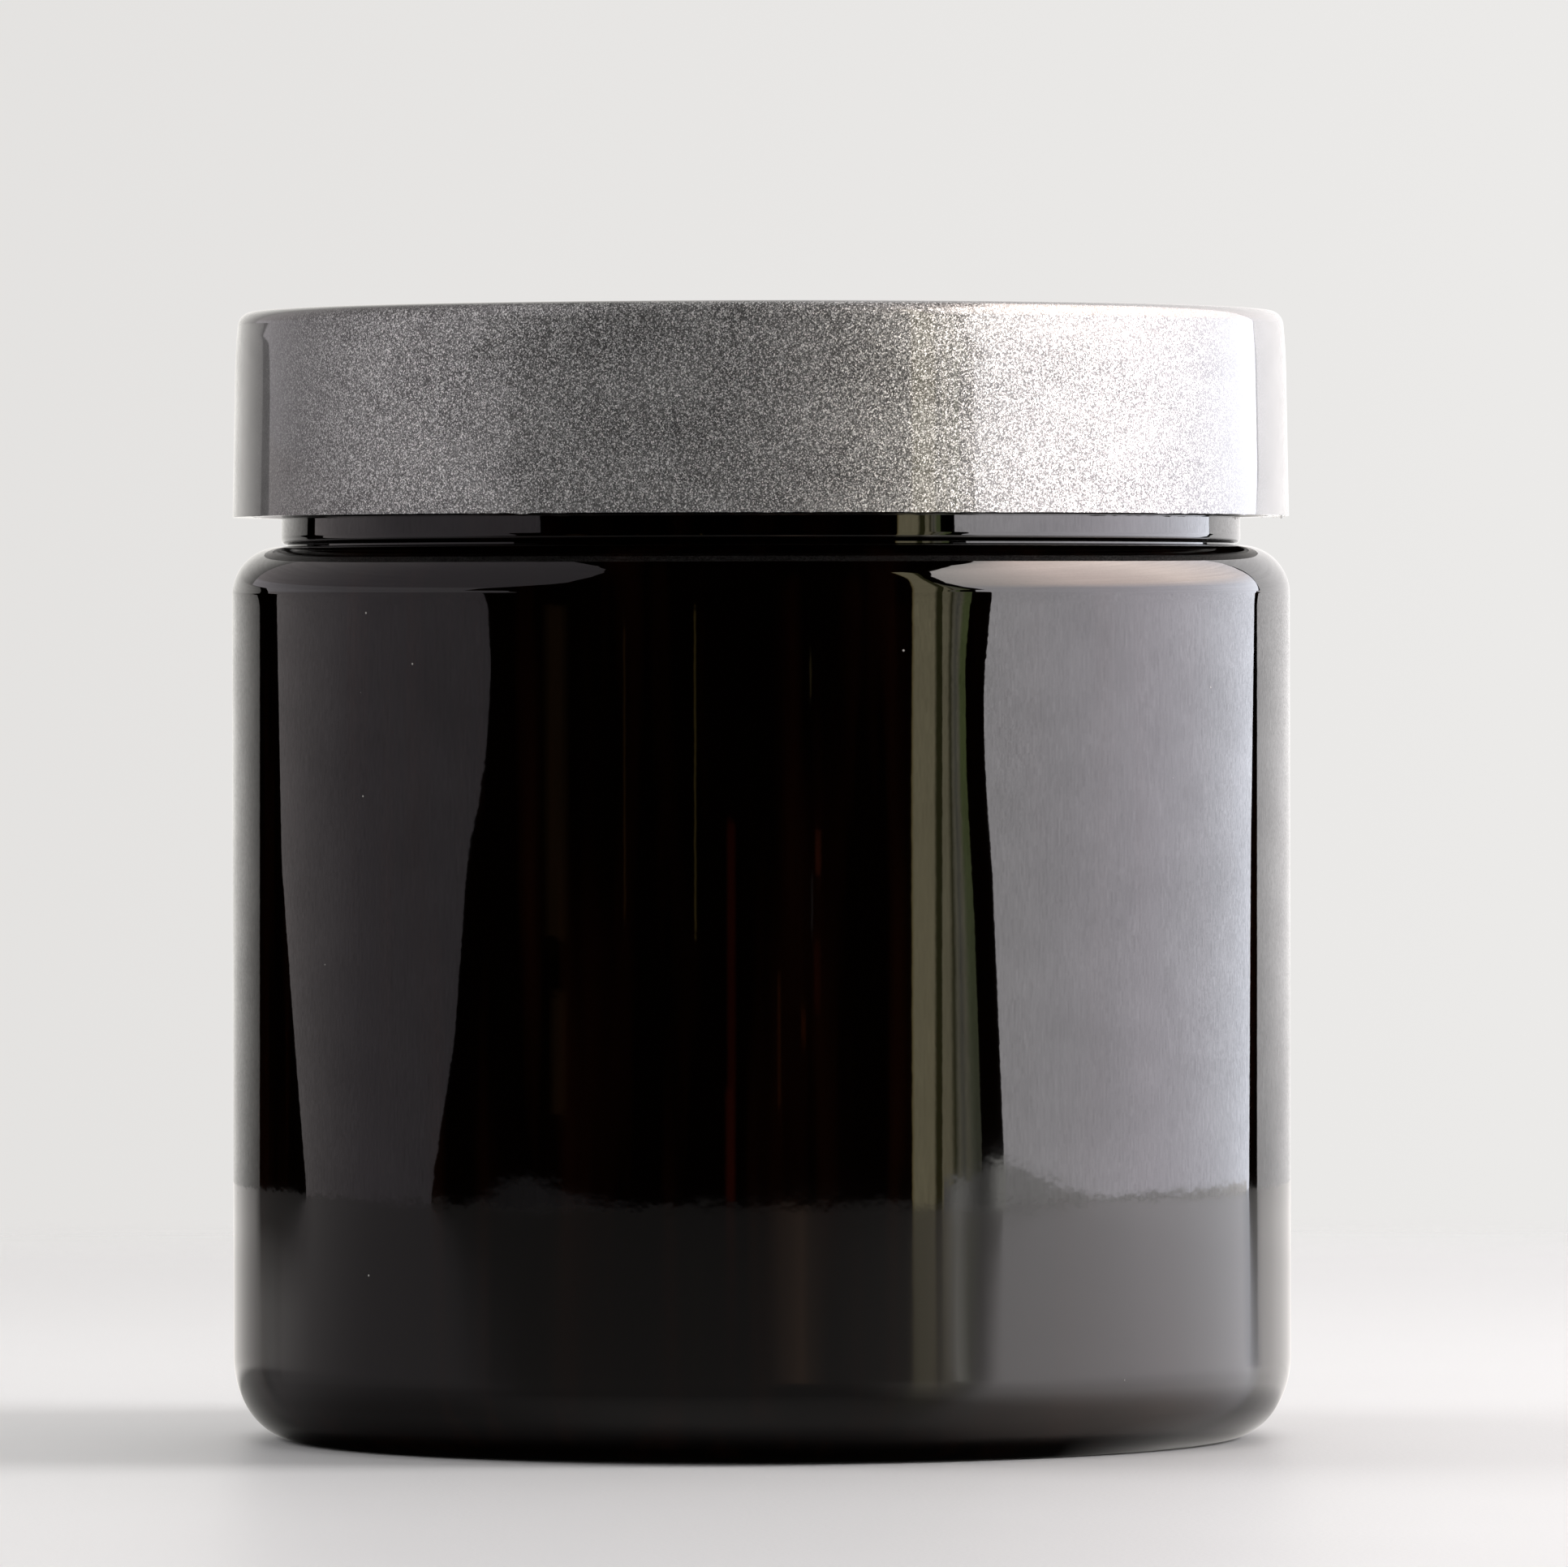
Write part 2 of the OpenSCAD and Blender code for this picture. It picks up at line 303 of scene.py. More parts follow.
def jar_outline():
    """The jar, from the gate out under the base, up the outside, over the rim and down the inside."""
    dome = [(r, base_height(r)) for r in np.linspace(GATE_R + 0.3, DOME_R, FINE_STEPS)]
    step = [(r, base_height(r)) for r in np.linspace(DOME_R, RING_IN, STEP_POINTS)[1:]]
    heel_at = (RING_OUT, HEEL_H)
    shoulder_at = (BODY_R - SHOULDER_R, SHOULDER_Z - SHOULDER_R)
    neck_foot_at = (NECK_R - NECK_ROUND, SHOULDER_Z + GROOVE_H + NECK_ROUND)
    rim_z = RIM_Z - RIM_ROUND
    neck_round = (NECK_ROUND, NECK_ROUND)
    rim_round = (RIM_ROUND, RIM_ROUND)
    outside = (
        gate_outline()
        + dome
        + step
        + with_steps([(RING_IN, 0), (RING_OUT, 0)], WALL_STEP)[1:-1]
        + arc(heel_at, (HEEL_W, HEEL_H), -90, 0, 2 * ARC_STEPS)
        + with_short_ends((BODY_R, HEEL_H), (BODY_R, SHOULDER_Z - SHOULDER_R))[1:-1]
        + arc(shoulder_at, (SHOULDER_R, SHOULDER_R), 0, 90, 2 * ARC_STEPS)
        + [(NECK_R - NECK_ROUND, SHOULDER_Z)]
        + arc(neck_foot_at, neck_round, -90, 0, FINE_STEPS)
        + with_steps([(NECK_R, neck_foot_at[1]), (NECK_R, rim_z)], NECK_STEP)[1:-1]
        + arc((NECK_R - RIM_ROUND, rim_z), rim_round, 0, 90, RIM_STEPS)
    )
    inner_r = SHOULDER_R - BODY_WALL
    inner_heel = (HEEL_W - BODY_WALL, HEEL_H - BASE_WALL)
    mouth_foot_at = (MOUTH_R + NECK_ROUND, SHOULDER_Z - BODY_WALL + NECK_ROUND)
    inner_base = [(r, base_height(r) + BASE_WALL) for r in np.linspace(RING_IN, 0, FINE_STEPS)]
    inside = (
        arc((MOUTH_R + RIM_ROUND, rim_z), rim_round, 90, 180, RIM_STEPS)
        + arc(mouth_foot_at, neck_round, 180, 270, MOUTH_FOOT_STEPS)
        + arc(shoulder_at, (inner_r, inner_r), 90, 0, FINE_STEPS)
        + arc(heel_at, inner_heel, 0, -90, FINE_STEPS)
        + inner_base
    )
    return outside + inside


def jar_relief(r, z, angle):
    """Leans the foot of the neck in a little and winds the thread round it."""
    on_neck = (np.abs(r - NECK_R) < CLOSE) & (z > SHOULDER_Z)
    ridge = ridge_height(z, angle, NECK_THREAD_Z, 0, THREAD_TURNS)
    leaned = np.clip(z - SHOULDER_Z - GROOVE_H - NECK_ROUND, 0, NECK_LEAN_H) * math.tan(NECK_LEAN)
    return np.where(on_neck, r + ridge - leaned, r), z


def make_jar(finish):
    mesh = revolved("blown_jar", jar_outline(), JAR_COLUMNS, jar_relief)
    mesh.materials.append(finish)
    jar = add_object("blown_jar", mesh, "jar")
    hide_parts("jar_body")


# ---------------------------------------------------------------- lid


def lid_outline():
    """The lid, from the middle of its ceiling down the bore, round the open edge and over the top."""
    bead = [
        (BORE_R, LINER_Z),
        (BORE_R - BEAD_DEPTH, LINER_Z - BEAD_H / 4),
        (BORE_R - BEAD_DEPTH, LINER_Z - BEAD_H / 2),
        (BORE_R, LINER_Z - BEAD_H),
    ]
    open_edge = [
        (BORE_R + LID_CHAMFER, LID_EDGE_Z),
        (LID_FOOT_R - LID_LIP_R, LID_EDGE_Z),
        (LID_FOOT_R, LID_EDGE_Z),
        (LID_FOOT_R - LID_FOOT_LEAN, LID_EDGE_Z + LID_FOOT_STEP),
    ]
    above_foot = (LID_FOOT_R - 2 * LID_FOOT_LEAN, LID_EDGE_Z + 2 * LID_FOOT_STEP)
    edge_at = (LID_R - LID_EDGE_R, LID_Z - LID_EDGE_R)
    edge = arc(edge_at, (LID_EDGE_R, LID_EDGE_R), math.degrees(LID_DRAFT), 90, ARC_STEPS)
    return (
        with_steps([(0, CEILING_Z), (BORE_R, CEILING_Z), (BORE_R, LINER_Z)], CEILING_STEP)
        + bead[1:]
        + with_steps([bead[-1], (BORE_R, LID_EDGE_Z + LID_CHAMFER)], THREAD_STEP)[1:]
        + open_edge
        + with_steps([above_foot, edge[0]], WALL_STEP)[1:-1]
        + edge
        + with_steps([edge[-1], (0, LID_Z)], TOP_STEP)[1:]
    )


def flash_depth(angle):
    """How far the moulding flash hangs below the lid's open edge, ragged round the rim."""
    at = Vector((math.cos(angle), math.sin(angle), 0)) * LID_FOOT_R
    patch = max(0.0, noise.noise(at * FLASH_PATCHES + Vector((3.1, 0, 0))) + 0.15)
    ragged = max(0.0, noise.noise(at * FLASH_TEETH) + 0.6 * noise.noise(at * FLASH_FINE))
    return FLASH_H * min(1.0, 0.12 + 2.4 * patch * ragged)


def lid_relief(r, z, angle):
    """Winds the thread inside the bore and lets the flash hang from the outer edge."""
    in_bore = (z > LID_EDGE_Z + LID_CHAMFER - CLOSE) & (z < LINER_Z - BEAD_H + CLOSE)
    on_bore = (np.abs(r - BORE_R) < CLOSE) & in_bore
    ridge = ridge_height(z, angle, LID_THREAD_Z, LID_THREAD_ANGLE, THREAD_TURNS)
    on_edge = (np.abs(r - LID_FOOT_R) < CLOSE) & (np.abs(z - LID_EDGE_Z) < CLOSE)
    flash = np.array([flash_depth(a) for a in angle[0]])[None, :]
    up = np.clip((z - LID_Z + LID_EDGE_R) / LID_CROWN_H + 1, 0, 1)
    out = np.clip((r - LID_R) / LID_EDGE_R + 1, 0, 1)
    crown = LID_CROWN * up**2 * out
    return np.where(on_bore, r - ridge, r - crown), np.where(on_edge, z - flash, z)


def make_lid(finish):
    mesh = revolved("silver_lid", lid_outline(), LID_COLUMNS, lid_relief)
    mesh.materials.append(finish)
    lid = add_object("silver_lid", mesh, "lid")
    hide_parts("screw_lid")


# ---------------------------------------------------------------- materials


class Finish:
    """A node material with short calls for its nodes."""

    def __init__(self, name):
        self.material = bpy.data.materials.new(name)
        self.material.use_nodes = True
        self.tree = self.material.node_tree
        self.shader = self.tree.nodes["Principled BSDF"]
        self.output = self.tree.nodes["Material Output"]

    def node(self, kind, settings=None, **inputs):
        made = self.tree.nodes.new(kind)
        for name, value in (settings or {}).items():
            setattr(made, name, value)
        for name, value in inputs.items():
            self.plug(value, made.inputs[int(name[1:]) if name[0] == "_" else name])
        return made

    def plug(self, value, socket):
        if isinstance(value, bpy.types.NodeSocket):
            self.tree.links.new(value, socket)
        else:
            socket.default_value = value

    def set(self, **inputs):
        for name, value in inputs.items():
            self.plug(value, self.shader.inputs[name.replace("_", " ")])

    def position(self, stretch=(1, 1, 1)):
        """The point on the surface in metres, each axis multiplied by its stretch."""
        place = self.node("ShaderNodeTexCoord").outputs["Object"]
        scaled = self.node("ShaderNodeVectorMath", {"operation": "MULTIPLY"}, _0=place, _1=stretch)
        return scaled.outputs[0]

    def noise(self, place, scale, detail=3, roughness=0.5):
        settings = {"Scale": scale, "Detail": detail, "Roughness": roughness}
        made = self.node("ShaderNodeTexNoise", Vector=place, **settings)
        return made.outputs["Fac"]

    def cells(self, place, scale):
        return self.node("ShaderNodeTexVoronoi", Vector=place, Scale=scale)

    def math(self, operation, a, b=0.0, c=0.0):
        return self.node("ShaderNodeMath", {"operation": operation}, _0=a, _1=b, _2=c).outputs[0]

    def vector(self, operation, a, b=None, c=None):
        made = self.node("ShaderNodeVectorMath", {"operation": operation})
        for value, socket in zip((a, b, c), made.inputs):
            if value is not None:
                self.plug(value, socket)
        return made.outputs[0]

    def remap(self, value, low, high, to_low, to_high, smooth=False):
        kind = "SMOOTHSTEP" if smooth else "LINEAR"
        made = self.node("ShaderNodeMapRange", {"interpolation_type": kind}, _0=value)
        for index, number in enumerate((low, high, to_low, to_high), start=1):
            made.inputs[index].default_value = number
        return made.outputs[0]

    def ramp(self, value, stops):
        """A grey curve through (position, level) stops."""
        made = self.node("ShaderNodeValToRGB", Fac=value)
        points = made.color_ramp.elements
        while len(points) < len(stops):
            points.new(0.5)
        for point, (position, level) in zip(points, stops):
            point.position = position
            point.color = (level, level, level, 1)
        return made.outputs["Color"]

    def mix(self, share, a, b):
        made = self.node("ShaderNodeMix", {"data_type": "RGBA"})
        self.plug(share, made.inputs["Factor"])
        self.plug(a, made.inputs[6])
        self.plug(b, made.inputs[7])
        return made.outputs[2]

    def length(self, vector):
        return self.node("ShaderNodeVectorMath", {"operation": "LENGTH"}, _0=vector).outputs["Value"]

    def scaled(self, vector, by):
        return self.node("ShaderNodeVectorMath", {"operation": "SCALE"}, _0=vector, Scale=by).outputs[0]

    def bump(self, height, distance):
        """A bumped normal. distance is the relief's height in metres."""
        return self.node("ShaderNodeBump", Strength=1.0, Distance=distance, Height=height).outputs[0]


# Flakes in a metre along the surface, and the most that a flake leans
FLAKE_SCALE = 14000
FLAKE_TILT = 0.1


def specks(finish, place, scale, size, share):
    """A mask of sparse round dust specks: 1 on a speck and 0 elsewhere."""
    cells = finish.cells(place, scale)
    spot = finish.remap(cells.outputs["Distance"], size, size * 0.6, 0, 1)
    pick = finish.node("ShaderNodeSeparateColor", Color=cells.outputs["Color"]).outputs[0]
    return finish.math("MULTIPLY", spot, finish.math("LESS_THAN", pick, share))


def black_gloss():
    """Near-black amber PET: a mirror-like skin with faint flow lines, smears and a little dust."""
    finish = Finish("black_gloss_pet")
    place = finish.position()
    flow = finish.noise(finish.position((1, 1, 0.05)), scale=420, detail=2)
    deep = (0.0006, 0.0002, 0.0001, 1)
    brown = (0.0042, 0.0011, 0.0004, 1)
    dust_grey = (0.3, 0.29, 0.27, 1)
    body = finish.mix(finish.remap(flow, 0.5, 0.8, 0, 1), deep, brown)
    dust = specks(finish, place, scale=330, size=0.03, share=0.3)
    smear = finish.noise(finish.position((1, 1, 0.35)), scale=70, detail=4)
    smeared = finish.remap(smear, 0.3, 0.75, 0.012, 0.035)
    dust_roughness = finish.math("MULTIPLY", dust, 0.6)
    peel = finish.noise(place, scale=700, detail=2)
    finish.set(
        Base_Color=finish.mix(dust, body, dust_grey),
        Roughness=finish.math("ADD", smeared, dust_roughness),
        Normal=finish.bump(peel, distance=1.2e-6),
        IOR=1.57,
    )
    return finish.material


def silver_flake():
    """Silver-grey plastic full of fine metal flakes, each tilted its own way under a smooth skin. Seen
    at a slant the flakes blend and darken, and the skin's gloss takes over."""
    finish = Finish("silver_flake_plastic")
    flake = finish.cells(finish.position(), FLAKE_SCALE).outputs["Color"]
    facing = finish.node("ShaderNodeLayerWeight", Blend=0.5).outputs["Facing"]
    single = finish.remap(facing, 0.44, 0.78, 1, 0, smooth=True)
    lean = finish.vector("MULTIPLY_ADD", flake, (2, 2, 2), (-1, -1, -1))
    tilt = finish.scaled(lean, finish.math("MULTIPLY", single, FLAKE_TILT))
    normal = finish.node("ShaderNodeNewGeometry").outputs["Normal"]
    tilted = finish.vector("NORMALIZE", finish.vector("ADD", tilt, normal))
    brightness = finish.node("ShaderNodeSeparateColor", Color=flake).outputs[2]
    few_bright = finish.math("POWER", brightness, 3.0)
    shade = finish.math("MULTIPLY_ADD", few_bright, 2.7, -0.67)
    cloud = finish.noise(finish.position((1, 1, 2)), scale=150, detail=4)
    clouded = finish.remap(cloud, 0.3, 0.7, 0.88, 1.12)
    level = finish.math("ADD", finish.math("MULTIPLY", shade, single), clouded)
    slant = finish.remap(facing, 0.2, 0.6, 1, 0.36, smooth=True)
    silver = (0.338, 0.334, 0.329)
    finish.set(
        Base_Color=finish.scaled(silver, finish.math("MULTIPLY", level, slant)),
        Metallic=0.46,
        Roughness=0.36,
        Normal=tilted,
        IOR=1.5,
        Coat_Weight=1.0,
        Coat_Roughness=0.04,
        Coat_IOR=1.5,
    )
    return finish.material


def white_foam():
    """Fine-celled white polyethylene foam."""
    finish = Finish("white_foam")
    place = finish.position()
    cells = finish.cells(place, scale=2400)
    mottle = finish.noise(place, scale=180, detail=3)
    dull_white = (0.80, 0.80, 0.77, 1)
    clean_white = (0.88, 0.88, 0.86, 1)
    finish.set(
        Base_Color=finish.mix(mottle, dull_white, clean_white),
        Roughness=0.75,
        Normal=finish.bump(cells.outputs["Distance"], distance=5e-5),
    )
    return finish.material


def milky_plastic():
    """Natural, slightly translucent white polyethylene with a satin skin."""
    finish = Finish("milky_plastic")
    place = finish.position()
    mottle = finish.noise(place, scale=90, detail=3)
    grain = finish.noise(place, scale=1500, detail=2)
    thin_milk = (0.78, 0.79, 0.78, 1)
    thick_milk = (0.86, 0.86, 0.85, 1)
    finish.set(
        Base_Color=finish.mix(mottle, thin_milk, thick_milk),
        Roughness=finish.remap(mottle, 0.3, 0.7, 0.32, 0.45),
        Normal=finish.bump(grain, distance=4e-6),
        IOR=1.51,
    )
    return finish.material


def dress_cad_node(node, finish):
    """Gives a CAD node that stays in view its material."""
    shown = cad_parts[node]
    shown.data.materials.clear()
    shown.data.materials.append(finish)


# ---------------------------------------------------------------- studio: what the gloss mirrors

# The cards stand round the jar at this distance, on a dark table that only the gloss sees
SHELL_R = 480
TENT_R = 486
STREAK_R = 478
TABLE_R = 500
TABLE_SINK = 0.3
# Between these distances the table goes over from its near paint to its far one
TABLE_NEAR = (70, 150)
# What the table gives off by itself, as a share of its paint
TABLE_GLOW = 0.25
CARD_STEP = 3
# How the jar's wall shows the table all round, where 0 and 1 lie straight behind and 0.5 in front: how pale
# it is, with painted light and shade (dark in front, pale on the right and behind) and painted reflections,
# where a painted dark gap at the left lies over it, and a painted brown and a painted pale shine that glow
# across it
TABLE_TONE = (
    (0.0, 0.85),
    (0.06, 0.72),
    (0.085, 0.5),
    (0.103, 0.36),
    (0.13, 0.36),
    (0.18, 0.18),
    (0.24, 0.13),
    (0.5, 0.13),
    (0.585, 0.2),
    (0.6, 0.26),
    (0.615, 0.5),
    (0.634, 0.6),
    (0.645, 0.85),
    (0.69, 0.88),
    (0.75, 1.0),
    (0.8, 0.95),
    (0.856, 0.85),
    (0.866, 0.3),
    (0.878, 0.3),
    (0.888, 0.75),
    (0.92, 0.85),
    (1.0, 0.85),
)
TABLE_GAP = ((0.098, 0), (0.109, 1), (0.172, 1), (0.182, 0))
# A painted brown reflection that glows across the far table
TABLE_BROWN_SHINE = (
    (0.503, 0),
    (0.511, 0.085),
    (0.519, 0.155),
    (0.523, 0.2),
    (0.527, 0.11),
    (0.535, 0.03),
    (0.54, 0),
)
TABLE_SHINE = ((0.6085, 0), (0.6128, 0.24), (0.6164, 0.85), (0.62, 0.62), (0.6236, 0.14), (0.626, 0))
TABLE_WARM = (1.0, 0.955, 0.93)
TABLE_PALE = (1.0, 0.98, 0.93)
TABLE_BROWN = (1.0, 0.56, 0.34)
# Elevations in degrees: the cards' common foot, the dark tent's top and the backdrop's
CARD_FOOT = -0.4
TENT_TOP = 89
SKY_TOP = 80
# where the backdrop is at full brightness, and where the left sheet is a little brighter
LOW_SKY = 4
SHEET_BAND = (9.8, 17.5)
SHEET_TOP = 69.5
# the window's sill, its full brightness, where it begins to fade and its top
SILL = 15.5
SILL_TOP = 23
WINDOW_FADE = 50
WINDOW_TOP = 68
# the beige cloth's top, where the grey one's folds are at their greenest, and its top
BEIGE_TOP = 48
MOSS_AT = 5.2
GREY_TOP = 27
# Azimuths in degrees at which the tent and the backdrop end behind the jar
TENT_END = 172
SKY_END = 178
# The round wall mirrors the cards squashed sideways, so their mottling is squashed upright
CARD_SQUASH = 25
CARD_WEAVE = 240
CARD_CLOUD = 6
RISE_STEP = 0.16
EDGE_BLUR = 3
STRIP_FADE = 0.15
STRIP_COLUMNS = 60

# Where the cards' upright edges show in the jar's wall, as pixels of the photograph, from the foot up
LEFT_BACK = ((378, 1470), (347, 1058), (341, 735))
LEFT_FRONT = (
    (531, 1470),
    (560, 1280),
    (576, 1058),
    (590, 986),
    (599, 930),
    (603, 860),
    (605, 818),
    (600, 735),
)
RIGHT_NEAR = ((1237, 1425), (1226, 1147), (1222, 1060), (1216, 985), (1212, 900), (1213, 830), (1222, 735))
RIGHT_FAR = ((1539, 1440), (1541, 1058), (1545.5, 735))
CLOTHS_NEAR = ((1124, 1440), (1123, 1000), (1124, 735))
CLOTH_FOLD = ((1161, 1440), (1161, 735))
CLOTHS_FAR = ((1210, 1425), (1201, 1147), (1191, 962), (1189, 816), (1196, 735))
LEFT_SKY_EDGE = ((320, 1470), (320, 735))
RIGHT_SKY_EDGE = ((1549, 1440), (1549, 735))

# The same edges higher up, as (elevation, azimuth): the neck mirrors 8.2 to 9.8, the shoulder the rest
LEFT_BACK_ABOVE = ((8.0, -126), (8.3, -131.3), (10.2, -131.7), (12.7, -133.4), (13.4, -144))
LEFT_FRONT_ABOVE = (
    (8.0, -60.2),
    (8.8, -60.2),
    (9.0, -52.0),
    (9.7, -52.0),
    (10.2, -53.7),
    (12.2, -54.2),
    (12.6, -65.0),
    (16.2, -61.3),
    (19.5, -54.2),
    (24.6, -45.5),
    (28.0, -42.3),
    (39.4, -39.3),
    (47.7, -39.3),
    (54.5, -42.7),
    (60.5, -50.7),
    (64.4, -62.0),
    (70.5, -90.0),
)
RIGHT_NEAR_ABOVE = ((8.0, 48.9), (8.9, 48.5), (9.1, 45.3), (12.2, 45.3), (12.8, 47.6), (18.3, 43.2))
WINDOW_NEAR = (
    (18.3, 43.2),
    (26.2, 40),
    (39, 39.4),
    (48.5, 42.8),
    (54.2, 50),
    (59.1, 58.6),
    (62.3, 71.7),
    (69, 95),
)
RIGHT_FAR_ABOVE = (
    (8.1, 133),
    (8.9, 133),
    (9.2, 134.5),
    (15.4, 134.9),
    (26.4, 135.9),
    (32.5, 138),
    (72, 138),
)
CLOTHS_NEAR_ABOVE = ((21.6, 31.7), (34.5, 32.7), (42.6, 32.6), (51, 32.3))
CLOTH_FOLD_ABOVE = ((18, 38.6), (25, 37.6), (28, 37.2), (36, 36.9), (46, 38.4), (51, 33.0))
CLOTHS_FAR_ABOVE = (
    (8.0, 44.6),
    (8.9, 44.6),
    (9.1, 41.8),
    (12.2, 41.8),
    (12.8, 44.4),
    (15.2, 43.0),
    (21.5, 39.2),
    (27.9, 37.3),
)
LEFT_SKY_ABOVE = ((8.0, -143), (8.3, -136.6), (10.2, -136.2), (12.7, -137.4), (13.4, -143.9))
RIGHT_SKY_ABOVE = (
    (8.0, 136.2),
    (8.3, 133.2),
    (8.9, 133.2),
    (9.2, 135.5),
    (15.4, 135.0),
    (32.5, 138.1),
    (72, 138.1),
)

# Where the table's far edge shows over the foot of the cards, from left to right
FRONT_TABLE_EDGE = (
    (545, 1480),
    (590, 1470),
    (620, 1450),
    (650, 1442),
    (690, 1456),
    (730, 1470),
    (800, 1479),
)
CLOTH_TABLE_EDGE = ((1163, 1455), (1196, 1450), (1215, 1430), (1239, 1428))
RIGHT_TABLE_EDGE = ((1239, 1428), (1290, 1452), (1350, 1474), (1440, 1468), (1536, 1456))

CLOTH_FOOT_GLOW = (0.88, 1.2, 1.75, 1.65, 1.2, 0.8, 0.62, 0.75, 1.5, 2.3, 2.4)
PANEL_FOOT_GLOW = (2.4, 2.5, 2.5, 2.5, 2.9)

# Faint warm streaks in the black front: left, right, top and foot in the photograph's pixels, and radiance
STREAKS = (
    (668, 702, 738, 1156, (0.055, 0.030, 0.013)),
    (676, 701, 1222, 1372, (0.055, 0.030, 0.013)),
    (768, 771, 765, 1130, (0.085, 0.045, 0.012)),
    (855, 858, 748, 1150, (0.22, 0.16, 0.05)),
    (894, 908, 1010, 1340, (0.09, 0.012, 0.006)),
    (892, 908, 1340, 1480, (0.14, 0.020, 0.010)),
    (957, 963, 1200, 1362, (0.08, 0.024, 0.006)),
    (997, 1000, 806, 853, (0.15, 0.12, 0.05)),
    (1003, 1013, 1024, 1082, (0.16, 0.04, 0.02)),
    (999, 1002, 1082, 1148, (0.07, 0.07, 0.07)),
    (1002, 1012, 1155, 1240, (0.06, 0.010, 0.005)),
    (986, 994, 1244, 1282, (0.11, 0.03, 0.006)),
    (1094, 1122, 738, 1440, (0.013, 0.003, 0.001)),
)


def mirrored(x, y):
    """Where the ray through a pixel, mirrored by the jar's wall, meets the shell: (elevation, azimuth)."""
    turn = CAMERA_AT.to_3x3()
    eye = CAMERA_AT.translation / MM
    ray = (turn @ Vector((x - PHOTO_W / 2, PHOTO_H / 2 - y, -FOCAL_PX))).normalized()
    a = ray.x**2 + ray.y**2
    b = eye.x * ray.x + eye.y * ray.y
    c = eye.x**2 + eye.y**2 - BODY_R**2
    hit = eye + ray * ((-b - math.sqrt(max(0.0, b * b - a * c))) / a)
    outward = Vector((hit.x, hit.y, 0)).normalized()
    away = ray.reflect(outward)
    b = hit.dot(away)
    met = hit + away * (-b + math.sqrt(b * b - hit.length_squared + SHELL_R**2))
    return math.degrees(math.asin(met.z / SHELL_R)), math.degrees(math.atan2(met.x, -met.y))


def edge(pixels, above=()):
    """A card's upright edge: seen at these pixels of the wall, then at these (elevation, azimuth) above."""
    return sorted([mirrored(x, y) for x, y in pixels] + list(above))


def upright(azimuth):
    """An edge that stands straight up at one azimuth."""
    return [(0, azimuth), (90, azimuth)]


def along_edge(points, rises):
    """Azimuths of an edge at these elevations, with its corners rounded off."""
    spread = np.arange(-EDGE_BLUR, EDGE_BLUR + 1) * RISE_STEP / EDGE_BLUR
    return np.mean([np.interp(rises + shift, *zip(*points)) for shift in spread], axis=0)


def card(name, left, right, low, high, glow, glow_above=None, radius=SHELL_R):
    """A glowing card, bent round the jar, from low to high in elevation, which only the gloss mirrors.
    glow lists its radiance from its left edge to its right one, and glow_above that at its top."""
    rises = np.linspace(low, high, max(2, int((high - low) / RISE_STEP)))
    from_az = along_edge(left, rises)
    to_az = along_edge(right, rises)
    count = max(3 * len(glow), int(np.max(np.abs(to_az - from_az)) / CARD_STEP))
    share = np.linspace(0, 1, count)
    azimuth = np.radians(from_az[:, None] + (to_az - from_az)[:, None] * share[None, :])
    rise = np.radians(np.repeat(rises[:, None], count, axis=1))
    below = spread_glow(glow, share)
    above = spread_glow(glow_above or glow, share)
    up = np.linspace(0, 1, len(rises))[:, None, None]
    return glowing_sheet(name, on_shell(rise, azimuth, radius), below * (1 - up) + above * up)


def on_shell(rise, azimuth, radius):
    """Points at these elevations and azimuths, in radians, at this distance from the jar's foot."""
    spread = radius * np.cos(rise)
    return np.stack([spread * np.sin(azimuth), -spread * np.cos(azimuth), radius * np.sin(rise)], axis=-1)


def glowing_sheet(name, points, glow):
    """A sheet through rows of points, painted with a radiance at each, which only the gloss mirrors."""
    rows, count = points.shape[:2]
    corners = [i * count + j for i in range(rows - 1) for j in range(count - 1)]
    faces = [(k, k + 1, k + count + 1, k + count) for k in corners]
    mesh = bpy.data.meshes.new(name)
    mesh.from_pydata((points.reshape(-1, 3) * MM).tolist(), [], faces)
    paint = mesh.attributes.new("glow", "FLOAT_COLOR", "POINT")
    paint.data.foreach_set("color", glow.ravel())
    mesh.materials.append(card_glow())
    return only_mirrored(add_object(name, mesh))


def spread_glow(levels, share):
    """Radiances spread evenly over the width of a card, as rows of red, green, blue and 1."""
    stops = np.linspace(0, 1, len(levels))
    channels = [np.interp(share, stops, channel) for channel in zip(*levels)]
    return np.stack(channels + [np.ones(len(share))], axis=-1)


def card_glow():
    """Emission that reads a card's own painted radiance."""
    if "card_glow" in bpy.data.materials:
        return bpy.data.materials["card_glow"]
    finish = Finish("card_glow")
    finish.tree.nodes.remove(finish.shader)
    glow = finish.node("ShaderNodeAttribute", {"attribute_name": "glow"}).outputs["Color"]
    place = finish.position((1, 1, CARD_SQUASH))
    weave = finish.noise(place, CARD_WEAVE, 2)
    cloud = finish.noise(place, CARD_CLOUD, 3)
    woven = finish.remap(weave, 0.3, 0.7, 0.72, 1.28)
    clouded = finish.remap(cloud, 0.3, 0.7, 0.93, 1.07)
    level = finish.math("MULTIPLY", woven, clouded)
    emit = finish.node("ShaderNodeEmission", Color=glow, Strength=level)
    finish.plug(emit.outputs[0], finish.output.inputs["Surface"])
    return finish.material


def only_mirrored(thing):
    """Stage that shows in gloss alone, and neither lights nor shades anything."""
    for way in ("camera", "diffuse", "transmission", "volume_scatter", "shadow"):
        setattr(thing, f"visible_{way}", False)
    return thing


